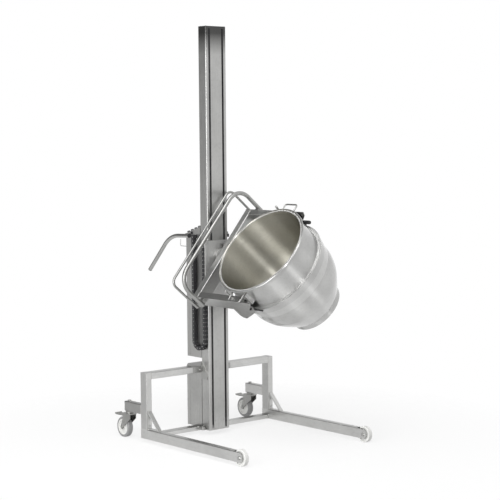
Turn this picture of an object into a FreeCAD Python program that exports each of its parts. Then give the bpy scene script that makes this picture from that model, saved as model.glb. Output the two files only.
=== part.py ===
import FreeCAD, Part
import math
import os

V = FreeCAD.Vector
X_AXIS, Y_AXIS, Z_AXIS = V(1, 0, 0), V(0, 1, 0), V(0, 0, 1)

# Mobile column lifter with a tipping fork that carries a planetary mixer's bowl.
# Millimetres, +Z up, legs pointing to -Y. Y is counted from the uprights' front face and
# moved at the end, which puts the origin on the floor under the middle of the whole.
OUT = "parts"

# base frame, rectangular tube
BASE_WIDTH = 1000.0
TUBE_DEPTH, TUBE_WIDTH, TUBE_WALL, TUBE_R = 60.0, 40.0, 2.0, 4.0
FLOOR_Z = 4.0
LEG_BOTTOM = 26.0
UPRIGHT_TOP = 425.0
LEG_TUBE_END = -800.0
LOWER_BEAM_HEIGHT = 25.0
REAR_ARM_BOTTOM, REAR_ARM_END = 170.0, 226.0
SIDE_X = BASE_WIDTH / 2 - TUBE_WIDTH / 2
INNER_X = BASE_WIDTH / 2 - TUBE_WIDTH

# front wheels
FRONT_WHEEL_D, FRONT_WHEEL_W = 96.0, 27.0
AXLE_Y, AXLE_D = -856.0, 12.0
CHEEK_T = 3.0
CHEEK_R = TUBE_DEPTH / 2
FRONT_WHEEL_Z = FLOOR_Z + FRONT_WHEEL_D / 2

# rear casters
CASTER_WHEEL_D, CASTER_WHEEL_W = 125.0, 35.0
CASTER_Y, CASTER_TRAIL = 202.0, 50.0
CROWN_TOP, CROWN_T = 158.0, 6.0
CASTER_PIN_D = 16.0
CASTER_WHEEL_Z = FLOOR_Z + CASTER_WHEEL_D / 2
FORK_PLATE_T = 3.0
PEDAL_PIVOT_Y, PEDAL_PIN_D = CASTER_Y + 29, 8.0
PEDAL_PIVOT_Z = CASTER_WHEEL_Z + CASTER_WHEEL_D / 2 + 12
PEDAL_REACH = CASTER_Y + CASTER_TRAIL + CASTER_WHEEL_D / 2 + 6.5

# braces between uprights and legs
BRACE_RUN, BRACE_RISE, BRACE_W, BRACE_T = 104.0, 108.0, 26.0, 5.0

# brackets between the cross beams and the column
BRACKET_T, GUSSET_WING = 4.0, 72.0

# lifting column, an extrusion with two slots in its front face
COLUMN_WIDTH, COLUMN_DEPTH, COLUMN_WALL, COLUMN_R = 156.0, 73.0, 4.0, 6.0
COLUMN_BOTTOM, COLUMN_TOP, CAP_T = 32.0, 2490.0, 5.0
SLOT_IN, SLOT_OUT = 43.0, 58.0
SLOT_Z = (COLUMN_BOTTOM + 10, COLUMN_TOP - 14)
FIN_T = 6.0
FOOT_COVER_TOP = 104.0

# sheet housings behind the column
SHEET = 2.0
HOUSING_DEPTH = 141.0
UPPER_HOUSING = (474.0, 1209.0)
LOWER_HOUSING_DEPTH = 148.0
LOWER_HOUSING = (44.0, 385.0)
SEAM_BACK = 32.0

# console wedge on the upper housing
CONSOLE_REACH, CONSOLE_LIP, CONSOLE_TOP, CONSOLE_FLAT = 180.0, 12.0, 1278.0, 6.0
BUTTON_D, BUTTON_X, BUTTON_TRAVEL, BUTTON_STAND = 20.0, -45.0, 3.0, 17.0
BUTTON_AT = (46.0, 83.0, 120.0, 157.0)
SOCKET_Y, SOCKET_HEIGHT = 80.0, UPPER_HOUSING[1] + 32

# push handle
HANDLE_D, HANDLE_WALL, HANDLE_BEND, PLUG_T = 25.0, 2.0, 55.0, 4.0
HANDLE_X = -(COLUMN_WIDTH / 2 + HANDLE_D / 2 + 1.5)
HANDLE_PATH = ((94.0, 1221.0), (282.0, 1214.0), (496.0, 990.0))
HANDLE_CLAMP = (98.0, 132.0)
HOOK_REACH = 75.0

# carriage
PLATE_W, PLATE_T, PLATE_GAP = 214.0, 8.0, 4.0
PLATE_BOTTOM, PLATE_TOP = 811.0, 1199.0
CORE_HALF, CORE_Z = 66.0, (880.0, 1150.0)
PAD_GAP = 0.1
SPINDLE_D, SPINDLE_Y = 25.0, -36.0
RUN_FIT = 0.06

# bowl, counted from the rotor axis
BOWL_Y, BOWL_R, BOWL_WALL = -556.0, 287.0, 3.0
RIM_LIP, BOWL_RIM_W, BEAD_R = 15.5, 92.0, 6.0
BOWL_RIM_R = BOWL_R + RIM_LIP
BOWL_PROFILE = ((BOWL_R, -205.0), (BOWL_R - 8, -258.0), (BOWL_R - 22, -300.0), (BOWL_R - 43, -340.0),
                (BOWL_R - 68, -380.0), (BOWL_R - 95, -420.0), (BOWL_R - 121, -449.0))
BELT_TOP, BELT_BOTTOM = (BOWL_R + 24.5, -74.0), (BOWL_R + 1, -180.0)
BELT_T = 2.5
FOOT_R, FOOT_W, FOOT_T = BOWL_R - 114, (-472.0, -440.0), 4.0
EAR_U, EAR_Y, EAR_W, EAR_T = BOWL_R + 19, (-616.0, -588.0), (-15.0, 63.0), 4.0
TONGUE_U, TONGUE_END, TONGUE_H = (BOWL_R + 9, BOWL_R + 33), -440.0, 34.0
LATCH_D, LATCH_U, LATCH_Y, LATCH_TOP = 10.0, BOWL_R + 21, -478.0, 107.0

# rotor and fork, drawn upright about the rotor axis and then tipped
ROTOR_Z, TIP_DEG = 1108.0, -50.0
RING_D, RING_BORE, RING_T = 84.0, 50.0, 17.0
FORK_HALF, FORK_TOP, FORK_BOTTOM = BOWL_R + 44, 31.0, -55.0
BEAM_REAR, BEAM_DEPTH, BEAM_WALL, BEAM_R = -118.0, 50.0, 4.0, 6.0
WEB_T, FLANGE_W = 4.0, 30.0
ARM_IN, ARM_END, ARM_FLOOR, ARM_WALL = BOWL_R + 3, -585.0, -27.0, 3.0
NOSE_TIP, NOSE_CHIN, NOSE_HEEL = (-643.0, FORK_TOP), (-626.0, -3.0), (-566.0, FORK_BOTTOM)
CRADLE_U = BOWL_R + 26
CRADLE = ((-392.0, -140.0), (-404.0, -165.0), (-430.0, -171.0), (-477.0, -146.0),
          (-581.0, -88.0), (-600.0, -66.0))
GRIP_W, GRIP_D, GRIP_TIP, GRIP_SEAT = -49.5, 21.0, -643.0, 12.0
LEVER_W, LEVER_D, LEVER_TIP, LEVER_BALL = -57.0, 9.0, -676.0, 13.0
LATCH_LOW = ARM_FLOOR + 1

# guard bows
REAR_BOW = dict(half=FORK_HALF + 22, top=197.0, y=-100.0, r=7.5, wall=1.5, bend=42.0, foot=-57.0)
FRONT_BOW = dict(half=FORK_HALF + 27, top=226.0, y=-200.0, r=12.5, wall=2.0, bend=105.0, foot=-14.0)

# energy chain
CHAIN_X, CHAIN_W, CHAIN_H = -(COLUMN_WIDTH / 2 + BRACKET_T + 1), 23.0, 24.0
CHAIN_FRONT, CHAIN_REAR = -57.5, 42.5
CHAIN_TOP, CHAIN_FRONT_TOP, CHAIN_LOW = 1229.0, 1195.0, 524.0
LINK, LINK_NECK, LINK_NOTCH = 25.0, 0.1, 2.5


def box(x0, x1, y0, y1, z0, z1):
    return Part.makeBox(x1 - x0, y1 - y0, z1 - z0, V(x0, y0, z0))


def cylinder(start, axis, d, length):
    return Part.makeCylinder(d / 2, length, start, axis)


def edges_along(shape, axis):
    return [e for e in shape.Edges if e.Curve.TypeId == "Part::GeomLine"
            and abs(e.tangentAt(e.FirstParameter).dot(axis)) > 0.999]


def bar(x0, x1, y0, y1, z0, z1, axis, r):
    solid = box(x0, x1, y0, y1, z0, z1)
    return solid.makeFillet(r, edges_along(solid, axis))


def tube(x0, x1, y0, y1, z0, z1, axis, r, wall):
    """Rectangular tube along axis, open at both ends."""
    low = [x0 + wall, y0 + wall, z0 + wall]
    high = [x1 - wall, y1 - wall, z1 - wall]
    k = [X_AXIS, Y_AXIS, Z_AXIS].index(axis)
    low[k] -= 2 * wall
    high[k] += 2 * wall
    inner = bar(low[0], high[0], low[1], high[1], low[2], high[2], axis, max(r - wall, 0.8))
    return bar(x0, x1, y0, y1, z0, z1, axis, r).cut(inner)


def plate_x(points, x0, x1):
    """Flat plate from (y, z) points, standing across X."""
    face = Part.Face(Part.makePolygon([V(x0, p[0], p[1]) for p in list(points) + [points[0]]]))
    return face.extrude(V(x1 - x0, 0, 0))


def plate_z(points, z0, z1):
    face = Part.Face(Part.makePolygon([V(p[0], p[1], z0) for p in list(points) + [points[0]]]))
    return face.extrude(V(0, 0, z1 - z0))


def bent_wire(points, bends):
    """Path of straight runs with rounded corners."""
    edges, last = [], points[0]
    for p, q, r, bend in zip(points, points[1:], points[2:], bends):
        a, b = (p - q).normalize(), (r - q).normalize()
        half = math.acos(max(-1.0, min(1.0, a.dot(b)))) / 2
        reach = bend / math.tan(half)
        start, end = q + a * reach, q + b * reach
        centre = q + (a + b).normalize() * (bend / math.sin(half))
        middle = centre + (q - centre).normalize() * bend
        edges += [Part.makeLine(last, start), Part.Arc(start, middle, end).toShape()]
        last = end
    edges.append(Part.makeLine(last, points[-1]))
    return Part.Wire(edges)


def round_bar(points, bends, r):
    path = bent_wire(points, bends)
    ring = Part.Wire(Part.makeCircle(r, points[0], points[1] - points[0]))
    return path.makePipeShell([ring], True, True)


def round_tube(points, bends, r, wall):
    return round_bar(points, bends, r).cut(round_bar(points, bends, r - wall))


def hex_head(start, axis, across, height):
    r = across / math.sqrt(3)
    side = axis.cross(Z_AXIS if abs(axis.z) < 0.9 else X_AXIS).normalize()
    up = axis.cross(side)
    ring = [start + side * (r * math.cos(a)) + up * (r * math.sin(a))
            for a in (math.radians(60 * i) for i in range(7))]
    return Part.Face(Part.makePolygon(ring)).extrude(axis * height)


def fuse(first, *others):
    return first.multiFuse(list(others)).removeSplitter()


def mirror_x(shape):
    return shape.mirror(V(0, 0, 0), X_AXIS)


def tip(shape):
    """Carry a fork piece from its upright drawing to the tipped rest position."""
    shape.rotate(V(0, 0, 0), Y_AXIS, TIP_DEG)
    shape.translate(V(0, 0, ROTOR_Z))
    return shape


def both_sides(parts, name, right):
    parts[name + "_right"] = right
    parts[name + "_left"] = mirror_x(right)


def pair(right):
    return Part.makeCompound([right, mirror_x(right)])


def side_frame():
    """Leg, upright and rear arm of the right side, welded with their insides joined."""
    x0, x1 = INNER_X, BASE_WIDTH / 2
    leg_top = LEG_BOTTOM + TUBE_DEPTH
    arm_top = REAR_ARM_BOTTOM + TUBE_DEPTH
    nose = AXLE_Y - CHEEK_R
    leg = bar(x0, x1, nose, TUBE_DEPTH, LEG_BOTTOM, leg_top, Y_AXIS, TUBE_R)
    upright = bar(x0, x1, 0, TUBE_DEPTH, LEG_BOTTOM + TUBE_R, UPRIGHT_TOP, Z_AXIS, TUBE_R)
    arm = bar(x0, x1, TUBE_DEPTH / 2, REAR_ARM_END, REAR_ARM_BOTTOM, arm_top, Y_AXIS, TUBE_R)
    outer = leg.multiFuse([upright, arm])
    w = TUBE_WALL
    bore = [box(x0 + w, x1 - w, LEG_TUBE_END, TUBE_DEPTH + w, LEG_BOTTOM + w, leg_top - w),
            box(x0 + w, x1 - w, w, TUBE_DEPTH - w, LEG_BOTTOM + w, UPRIGHT_TOP - w),
            box(x0 + w, x1 - w, TUBE_DEPTH / 2, REAR_ARM_END + w, REAR_ARM_BOTTOM + w, arm_top - w)]
    wheel_bay = box(x0 + CHEEK_T, x1 - CHEEK_T, nose - 1, LEG_TUBE_END, LEG_BOTTOM - 1, leg_top + 1)
    solid = outer.cut(bore[0].multiFuse(bore[1:] + [wheel_bay]))
    centre_z = LEG_BOTTOM + CHEEK_R
    keep = cylinder(V(x0 - 1, AXLE_Y, centre_z), X_AXIS, 2 * CHEEK_R, TUBE_WIDTH + 2)
    corner = box(x0 - 1, x1 + 1, nose - 1, AXLE_Y, LEG_BOTTOM - 1, leg_top + 1).cut(keep)
    axle_hole = cylinder(V(x0 - 1, AXLE_Y, FRONT_WHEEL_Z), X_AXIS, AXLE_D, TUBE_WIDTH + 2)
    king_hole = cylinder(V(SIDE_X, CASTER_Y, REAR_ARM_BOTTOM - 1), Z_AXIS, CASTER_PIN_D, TUBE_DEPTH + 2)
    return solid.cut(corner).cut(axle_hole).cut(king_hole).removeSplitter()


def brace():
    """Bent flat strip: a foot on the leg, a rising stay and a bolted flange on the upright."""
    base = LEG_BOTTOM + TUBE_DEPTH
    top = base + BRACE_RISE
    t = BRACE_T
    outer = [(0, base), (0, top), (-t, top), (-BRACE_RUN, base + t), (-BRACE_RUN, base)]
    hole = [(-t, base + t), (-t, top - 2.6 * t), (-BRACE_RUN + 2.6 * t, base + t)]
    x0, x1 = SIDE_X - BRACE_W / 2, SIDE_X + BRACE_W / 2
    return plate_x(outer, x0, x1).cut(plate_x(hole, x0 - 1, x1 + 1))


def brace_screws():
    base = LEG_BOTTOM + TUBE_DEPTH
    right = [cylinder(V(SIDE_X, -BRACE_T - 4, base + dz), Y_AXIS, 11, 4) for dz in (22, 68)]
    return right + [mirror_x(s) for s in right]


def cross_beams(parts):
    parts["cross_beam_upper"] = tube(-INNER_X, INNER_X, 0, TUBE_DEPTH, UPRIGHT_TOP - TUBE_WIDTH, UPRIGHT_TOP,
                                     X_AXIS, TUBE_R, TUBE_WALL)
    z0 = LEG_BOTTOM + 1
    parts["cross_beam_lower"] = tube(-INNER_X, INNER_X, 0, TUBE_DEPTH, z0, z0 + LOWER_BEAM_HEIGHT,
                                     X_AXIS, TUBE_R, TUBE_WALL)


def column_brackets(parts):
    """Top gusset, angle brackets on the upper beam and clamps at the column's foot."""
    h = COLUMN_WIDTH / 2
    t = BRACKET_T
    zt = UPRIGHT_TOP
    wing = h + GUSSET_WING
    outline = [(-h, 0), (-wing, 18), (-wing, 57), (-h - 8, 128), (h + 8, 128), (wing, 57), (wing, 18), (h, 0)]
    gusset = plate_z(outline, zt, zt + t)
    low = zt - 79
    cheek = plate_x([(0, low), (0, zt + 24), (-12, zt + 24), (-64, low + 20), (-56, low)], h, h + t)
    leg = box(h, h + 68, -t, 0, zt - TUBE_WIDTH + 2, zt - 2)
    z0 = LEG_BOTTOM + 1
    lug = bar(h, h + 30, -40, 0, z0 + 7, z0 + LOWER_BEAM_HEIGHT - 2, Z_AXIS, 9)
    lug = fuse(lug, box(h, h + 30, -12, 0, z0 + 7, z0 + LOWER_BEAM_HEIGHT - 2))
    side = fuse(cheek, leg)
    parts["column_brackets"] = Part.makeCompound([gusset, side, mirror_x(side), lug, mirror_x(lug)])


def frame_bolts():
    """Caster king bolt heads on the rear arms and cap bolts on the column brackets."""
    h = COLUMN_WIDTH / 2
    out = []
    for s in (-1, 1):
        z = REAR_ARM_BOTTOM + TUBE_DEPTH
        out.append(hex_head(V(s * SIDE_X, CASTER_Y, z), Z_AXIS, 18, 8))
        cap = cylinder(V(s * (h + 13), -4 - 7, UPRIGHT_TOP - TUBE_WIDTH / 2 - 2), Y_AXIS, 15, 7)
        out.append(cap)
        out.append(cylinder(V(s * (h + 15), -26, LEG_BOTTOM + 24), Z_AXIS, 12, 4))
    return out


def column():
    """Extruded column: rounded corners, hollow, two slots with lips in front, rear drive window."""
    h = COLUMN_WIDTH / 2
    solid = tube(-h, h, -COLUMN_DEPTH, 0, COLUMN_BOTTOM, COLUMN_TOP - CAP_T, Z_AXIS, COLUMN_R, COLUMN_WALL)
    for s in (-1, 1):
        x0, x1 = sorted((s * SLOT_IN, s * SLOT_OUT))
        solid = solid.cut(box(x0, x1, -COLUMN_DEPTH - 1, -COLUMN_DEPTH + COLUMN_WALL + 1,
                              SLOT_Z[0], SLOT_Z[1]))
    window = box(-36, 36, -COLUMN_WALL - 1, 1, 50, 132)
    cover_seat = box(-SLOT_IN + 2, SLOT_IN - 2, -COLUMN_DEPTH - 1, -COLUMN_DEPTH + 1.5,
                     COLUMN_BOTTOM - 1, FOOT_COVER_TOP)
    return solid.cut(window).cut(cover_seat)


def column_parts(parts):
    h = COLUMN_WIDTH / 2
    parts["column"] = column()
    parts["column_cap"] = bar(-h, h, -COLUMN_DEPTH, 0, COLUMN_TOP - CAP_T, COLUMN_TOP, Z_AXIS, COLUMN_R)
    gap = FIN_T + 0.4
    mid = (SLOT_IN + SLOT_OUT) / 2
    lips = []
    for s in (-1, 1):
        for a, b in ((SLOT_IN, mid - gap / 2), (mid + gap / 2, SLOT_OUT)):
            x0, x1 = sorted((s * a, s * b))
            y = -COLUMN_DEPTH + 1
            lips.append(box(x0, x1, y, y + 2.2, SLOT_Z[0], SLOT_Z[1]))
    parts["slot_seals"] = Part.makeCompound(lips)
    cover = box(-SLOT_IN + 2, SLOT_IN - 2, -COLUMN_DEPTH, -COLUMN_DEPTH + 1.5,
                COLUMN_BOTTOM, FOOT_COVER_TOP - 1.5)
    screw = cylinder(V(22, -COLUMN_DEPTH - 1.5, FOOT_COVER_TOP - 12), Y_AXIS, 9, 1.5)
    parts["foot_cover"] = fuse(cover, screw)


def sheet_box(depth, z0, z1, open_top):
    """Sheet housing open towards the column, with the seam of its rear cover."""
    h = COLUMN_WIDTH / 2
    shell = bar(-h, h, -20, depth, z0, z1, Z_AXIS, 3)
    shell = shell.cut(box(-h - 1, h + 1, -21, 0, z0 - 1, z1 + 1))
    top = z1 + 1 if open_top else z1 - SHEET
    shell = shell.cut(box(-h + SHEET, h - SHEET, -1, depth - SHEET, z0 + SHEET, top))
    seam = depth - SEAM_BACK
    for s in (-1, 1):
        x0, x1 = sorted((s * (h - 0.8), s * (h + 1)))
        shell = shell.cut(box(x0, x1, seam, seam + 1.6, z0 - 1, z1 + 1))
    return shell


def console():
    """Wedge over the housing, open below, with four button holes and a side socket."""
    h = COLUMN_WIDTH / 2
    z0 = UPPER_HOUSING[1]
    pts = [(0, z0), (CONSOLE_REACH, z0), (CONSOLE_REACH, z0 + CONSOLE_LIP),
           (CONSOLE_FLAT, CONSOLE_TOP), (0, CONSOLE_TOP)]
    inner = [(-1, z0 - 1), (HOUSING_DEPTH - SHEET, z0 - 1), (HOUSING_DEPTH - SHEET, z0 + SHEET),
             (CONSOLE_REACH - SHEET - 6, z0 + SHEET), (CONSOLE_REACH - SHEET - 6, z0 + CONSOLE_LIP - SHEET + 1),
             (CONSOLE_FLAT, CONSOLE_TOP - SHEET), (-1, CONSOLE_TOP - SHEET)]
    solid = plate_x(pts, -h, h).cut(plate_x(inner, -h + SHEET, h - SHEET))
    along, normal = slope_axes()
    for s in BUTTON_AT:
        foot = V(BUTTON_X, CONSOLE_FLAT, CONSOLE_TOP) + along * (s - CONSOLE_FLAT)
        solid = solid.fuse(cylinder(foot - normal * SHEET, normal, BUTTON_D + 8, SHEET + 4))
        solid = solid.cut(cylinder(foot - normal * 12, normal, BUTTON_D + 2 * RUN_FIT, 30))
    return solid.removeSplitter()


def slope_axes():
    run = CONSOLE_REACH - CONSOLE_FLAT
    drop = CONSOLE_TOP - UPPER_HOUSING[1] - CONSOLE_LIP
    size = math.hypot(run, drop)
    return V(0, run / size, -drop / size), V(0, drop / size, run / size)


def buttons(parts):
    along, normal = slope_axes()
    for i, s in enumerate(BUTTON_AT):
        foot = V(BUTTON_X, CONSOLE_FLAT, CONSOLE_TOP) + along * (s - CONSOLE_FLAT)
        stem = cylinder(foot - normal * 8, normal, BUTTON_D, BUTTON_STAND + 8)
        top = [e for e in stem.Edges if e.Length > 30 and (e.CenterOfMass - foot).dot(normal) > BUTTON_STAND - 1]
        parts["button_%d" % (i + 1)] = stem.makeFillet(2.5, top)


def handle_parts(parts):
    pts = [V(HANDLE_X, p[0], p[1]) for p in HANDLE_PATH]
    handle = round_tube(pts, [HANDLE_BEND], HANDLE_D / 2, HANDLE_WALL)
    h = COLUMN_WIDTH / 2
    z = HANDLE_PATH[0][1]
    saddle = box(HANDLE_X, -h, HANDLE_CLAMP[0], HANDLE_CLAMP[1], z - 14, z + 10)
    bore = round_bar(pts, [HANDLE_BEND], HANDLE_D / 2)
    parts["push_handle"] = handle.fuse(saddle.cut(bore)).removeSplitter()
    end_dir = (pts[2] - pts[1]).normalize()
    start_dir = (pts[0] - pts[1]).normalize()
    plug = cylinder(pts[2], end_dir, HANDLE_D, PLUG_T)
    plug = plug.fuse(cylinder(pts[2] - end_dir * 12, end_dir, HANDLE_D - 2 * HANDLE_WALL, 14))
    plug0 = cylinder(pts[0], start_dir, HANDLE_D, 3)
    plug0 = plug0.fuse(cylinder(pts[0] - start_dir * 12, start_dir, HANDLE_D - 2 * HANDLE_WALL, 14))
    parts["handle_plugs"] = Part.makeCompound([plug.removeSplitter(), plug0.removeSplitter()])
    y, z = HOUSING_DEPTH + HOOK_REACH, UPPER_HOUSING[1] - 57
    hook = [V(-64, HOUSING_DEPTH, z), V(-64, y, z), V(-64, y - 3, z + 42)]
    parts["cable_hook"] = round_bar(hook, [8], 2)
    socket = cylinder(V(-h, SOCKET_Y, SOCKET_HEIGHT), V(-1, 0, 0), 16, 5)
    z = UPPER_HOUSING[1] + 4
    switch = bar(h, h + 16, -68, -52, z, z + 20, X_AXIS, 2)
    switch = switch.fuse(cylinder(V(h + 8, -60, z + 20), Z_AXIS, 5, 5))
    parts["limit_switch"] = switch.fuse(cylinder(V(h + 5, -60, z + 28), X_AXIS, 10, 6)).removeSplitter()
    parts["side_socket"] = socket.cut(cylinder(V(-h - 1.5, SOCKET_Y, SOCKET_HEIGHT), V(-1, 0, 0), 11, 5))


def drive_parts(parts):
    """Lift drive: gearbox and motor in the lower housing, spindle in the column, battery above."""
    z0 = LOWER_HOUSING[0] + 18
    z1 = z0 + 60
    y = LOWER_HOUSING_DEPTH / 2 - 12
    gearbox = bar(-34, 34, -62, y + 12, z0, z1, Z_AXIS, 5)
    gearbox = gearbox.cut(cylinder(V(0, SPINDLE_Y, z0 + 8), Z_AXIS, SPINDLE_D + 2 * RUN_FIT, 60))
    motor = cylinder(V(0, y, z1 - 2), Z_AXIS, 96, 152).fuse(cylinder(V(0, y, z1 + 150), Z_AXIS, 84, 40))
    motor = motor.cut(cylinder(V(0, SPINDLE_Y, z1 - 22), Z_AXIS, 100, 300))
    parts["lift_drive"] = fuse(gearbox, motor)
    top = COLUMN_TOP - CAP_T
    parts["spindle"] = cylinder(V(0, SPINDLE_Y, z0 + 12), Z_AXIS, SPINDLE_D, top - 30 - z0 - 12)
    bearing = bar(-40, 40, -COLUMN_DEPTH + COLUMN_WALL, -COLUMN_WALL, top - 44, top, Z_AXIS, 3)
    seat = cylinder(V(0, SPINDLE_Y, top - 50), Z_AXIS, SPINDLE_D + 2 * RUN_FIT, 22)
    parts["spindle_bearing"] = bearing.cut(seat)
    z = UPPER_HOUSING[0] + SHEET
    parts["battery_pack"] = bar(-66, 66, 14, 118, z, z + 170, Z_AXIS, 4)


def carriage_parts(parts):
    """Front plate with a window, fins through the slots, a core block with glide pads and a nut."""
    front = -COLUMN_DEPTH - PLATE_GAP
    h = PLATE_W / 2
    plate = bar(-h, h, front - PLATE_T, front, PLATE_BOTTOM, PLATE_TOP, Y_AXIS, 6)
    plate = plate.cut(box(12, 40, front - PLATE_T - 1, front + 1, 1132, 1176))
    mid = (SLOT_IN + SLOT_OUT) / 2
    core_front = -COLUMN_DEPTH + COLUMN_WALL + 5
    core_rear = -COLUMN_WALL - 5
    fins = [box(s * mid - FIN_T / 2, s * mid + FIN_T / 2, front, core_front, CORE_Z[0] + 10, CORE_Z[1] - 10)
            for s in (-1, 1)]
    parts["carriage_plate"] = fuse(plate, fins[0], fins[1])
    core = bar(-CORE_HALF, CORE_HALF, core_front, core_rear, CORE_Z[0], CORE_Z[1], Z_AXIS, 3)
    bore = cylinder(V(0, SPINDLE_Y, CORE_Z[0] - 1), Z_AXIS, SPINDLE_D + 16, CORE_Z[1] - CORE_Z[0] + 2)
    parts["carriage_core"] = core.cut(bore)
    nut = cylinder(V(0, SPINDLE_Y, CORE_Z[0] + 40), Z_AXIS, SPINDLE_D + 16, 80)
    nut = nut.fuse(cylinder(V(0, SPINDLE_Y, CORE_Z[0] - 10), Z_AXIS, SPINDLE_D + 24, 10))
    nut = nut.fuse(cylinder(V(0, SPINDLE_Y, CORE_Z[0] - 10), Z_AXIS, SPINDLE_D + 16, 60))
    thread = cylinder(V(0, SPINDLE_Y, 800), Z_AXIS, SPINDLE_D + 2 * RUN_FIT, 300)
    parts["spindle_nut"] = nut.cut(thread).removeSplitter()
    inner_h = COLUMN_WIDTH / 2 - COLUMN_WALL - PAD_GAP
    pads = []
    for z in (CORE_Z[0] + 8, CORE_Z[1] - 48):
        for s in (-1, 1):
            x0, x1 = sorted((s * CORE_HALF, s * inner_h))
            pads.append(box(x0, x1, SPINDLE_Y - 18, SPINDLE_Y + 18, z, z + 40))
            x0, x1 = sorted((s * 14, s * 38))
            pads.append(box(x0, x1, -COLUMN_DEPTH + COLUMN_WALL + PAD_GAP, core_front, z, z + 40))
            pads.append(box(x0, x1, core_rear, -COLUMN_WALL - PAD_GAP, z, z + 40))
    parts["glide_pads"] = Part.makeCompound(pads)
    ring_front = front - PLATE_T - RING_T
    ring = cylinder(V(0, front - PLATE_T, ROTOR_Z), V(0, -1, 0), RING_D, RING_T)
    parts["rotor_ring"] = ring.cut(cylinder(V(0, front, ROTOR_Z), V(0, -1, 0), RING_BORE, 60))


def rotor_hub():
    front = -COLUMN_DEPTH - PLATE_GAP - PLATE_T
    disc_rear = front - RING_T - 0.6
    shaft = cylinder(V(0, front - 1.0, 0), V(0, -1, 0), RING_BORE - 2 * RUN_FIT, 20)
    disc = cylinder(V(0, disc_rear, 0), V(0, -1, 0), RING_D, disc_rear - BEAM_REAR)
    return fuse(shaft, disc)


def fork_beam():
    half = FORK_HALF - WEB_T
    return tube(-half, half, BEAM_REAR - BEAM_DEPTH, BEAM_REAR, FORK_BOTTOM, FORK_TOP,
                X_AXIS, BEAM_R, BEAM_WALL)


def fork_arm():
    """Right arm: box tube with an open end, a deeper side plate with a nose, a cradle plate and a bore."""
    u1, u0 = FORK_HALF, FORK_HALF - WEB_T
    front_face = BEAM_REAR - BEAM_DEPTH
    side = [(BEAM_REAR, FORK_BOTTOM), (BEAM_REAR, FORK_TOP), NOSE_TIP, NOSE_CHIN, NOSE_HEEL]
    web = plate_x(side, u0, u1)
    body = tube(ARM_IN, u1, ARM_END, front_face, ARM_FLOOR, FORK_TOP, Y_AXIS, 4, ARM_WALL)
    foot = box(CRADLE_U, u0, ARM_END, front_face, FORK_BOTTOM, FORK_BOTTOM + WEB_T)
    outline = [(CRADLE[0][0], ARM_FLOOR)] + list(CRADLE) + [(CRADLE[-1][0], ARM_FLOOR)]
    cradle = plate_x(outline, CRADLE_U, CRADLE_U + WEB_T)
    bush = cylinder(V(LATCH_U, LATCH_Y, FORK_TOP), Z_AXIS, 26, 9)
    screw = cylinder(V(CRADLE_U, -545, FORK_TOP), Z_AXIS, 14, 6)
    solid = fuse(body, web, foot, cradle, bush, screw)
    return solid.cut(cylinder(V(LATCH_U, LATCH_Y, ARM_FLOOR), Z_AXIS, LATCH_D + 2 * RUN_FIT, 100))


def front_grips():
    """Black grip on the right cradle plate, thin lever with a ball on the left one."""
    u = CRADLE_U + WEB_T / 2
    edge = CRADLE[-1][0]
    root = edge + GRIP_SEAT
    grip = rounded_rod(V(u, root, GRIP_W), V(0, -1, 0), GRIP_D, root - GRIP_TIP, 3.0)
    grip = grip.cut(box(CRADLE_U, CRADLE_U + WEB_T, edge, root + 1, -200, 0))
    lever = rounded_rod(V(-u, edge, LEVER_W), V(0, -1, 0), LEVER_D, edge - LEVER_TIP, 2.0)
    ball = Part.makeSphere(LEVER_BALL / 2, V(-u, edge - LEVER_BALL / 2 - 1, LEVER_W))
    return Part.makeCompound([grip, fuse(lever, ball)])


def rounded_rod(start, axis, d, length, r):
    rod = cylinder(start, axis, d, length)
    tip_edges = [e for e in rod.Edges if e.Curve.TypeId == "Part::GeomCircle"
                 and (e.CenterOfMass - start).dot(axis) > length - 0.1]
    return rod.makeFillet(r, tip_edges)


def latch_pin():
    """Drop pin that holds the bowl's tongue in the arm, with a knob to lift it by."""
    rod = cylinder(V(LATCH_U, LATCH_Y, LATCH_LOW), Z_AXIS, LATCH_D, LATCH_TOP - 12 - LATCH_LOW)
    knob = rounded_rod(V(LATCH_U, LATCH_Y, LATCH_TOP - 17), Z_AXIS, 14, 17, 4)
    return fuse(rod, knob)


def bow(spec):
    """U-shaped guard tube with a mounting block on either foot."""
    a, y, r = spec["half"], spec["y"], spec["r"]
    pts = [V(-a, y, spec["foot"]), V(-a, y, spec["top"]), V(a, y, spec["top"]), V(a, y, spec["foot"])]
    pipe = round_tube(pts, [spec["bend"]] * 2, r, spec["wall"])
    rod = round_bar(pts, [spec["bend"]] * 2, r)
    front = min(y - r, BEAM_REAR - 22) if y > BEAM_REAR else y - r
    for s in (-1, 1):
        x0, x1 = sorted((s * FORK_HALF, s * (a - r + 2)))
        z0 = max(spec["foot"] + 4, FORK_BOTTOM + 4)
        block = box(x0, x1, front, y + r, z0, z0 + 30)
        pipe = pipe.fuse(block.cut(rod))
    return pipe.removeSplitter()


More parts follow.
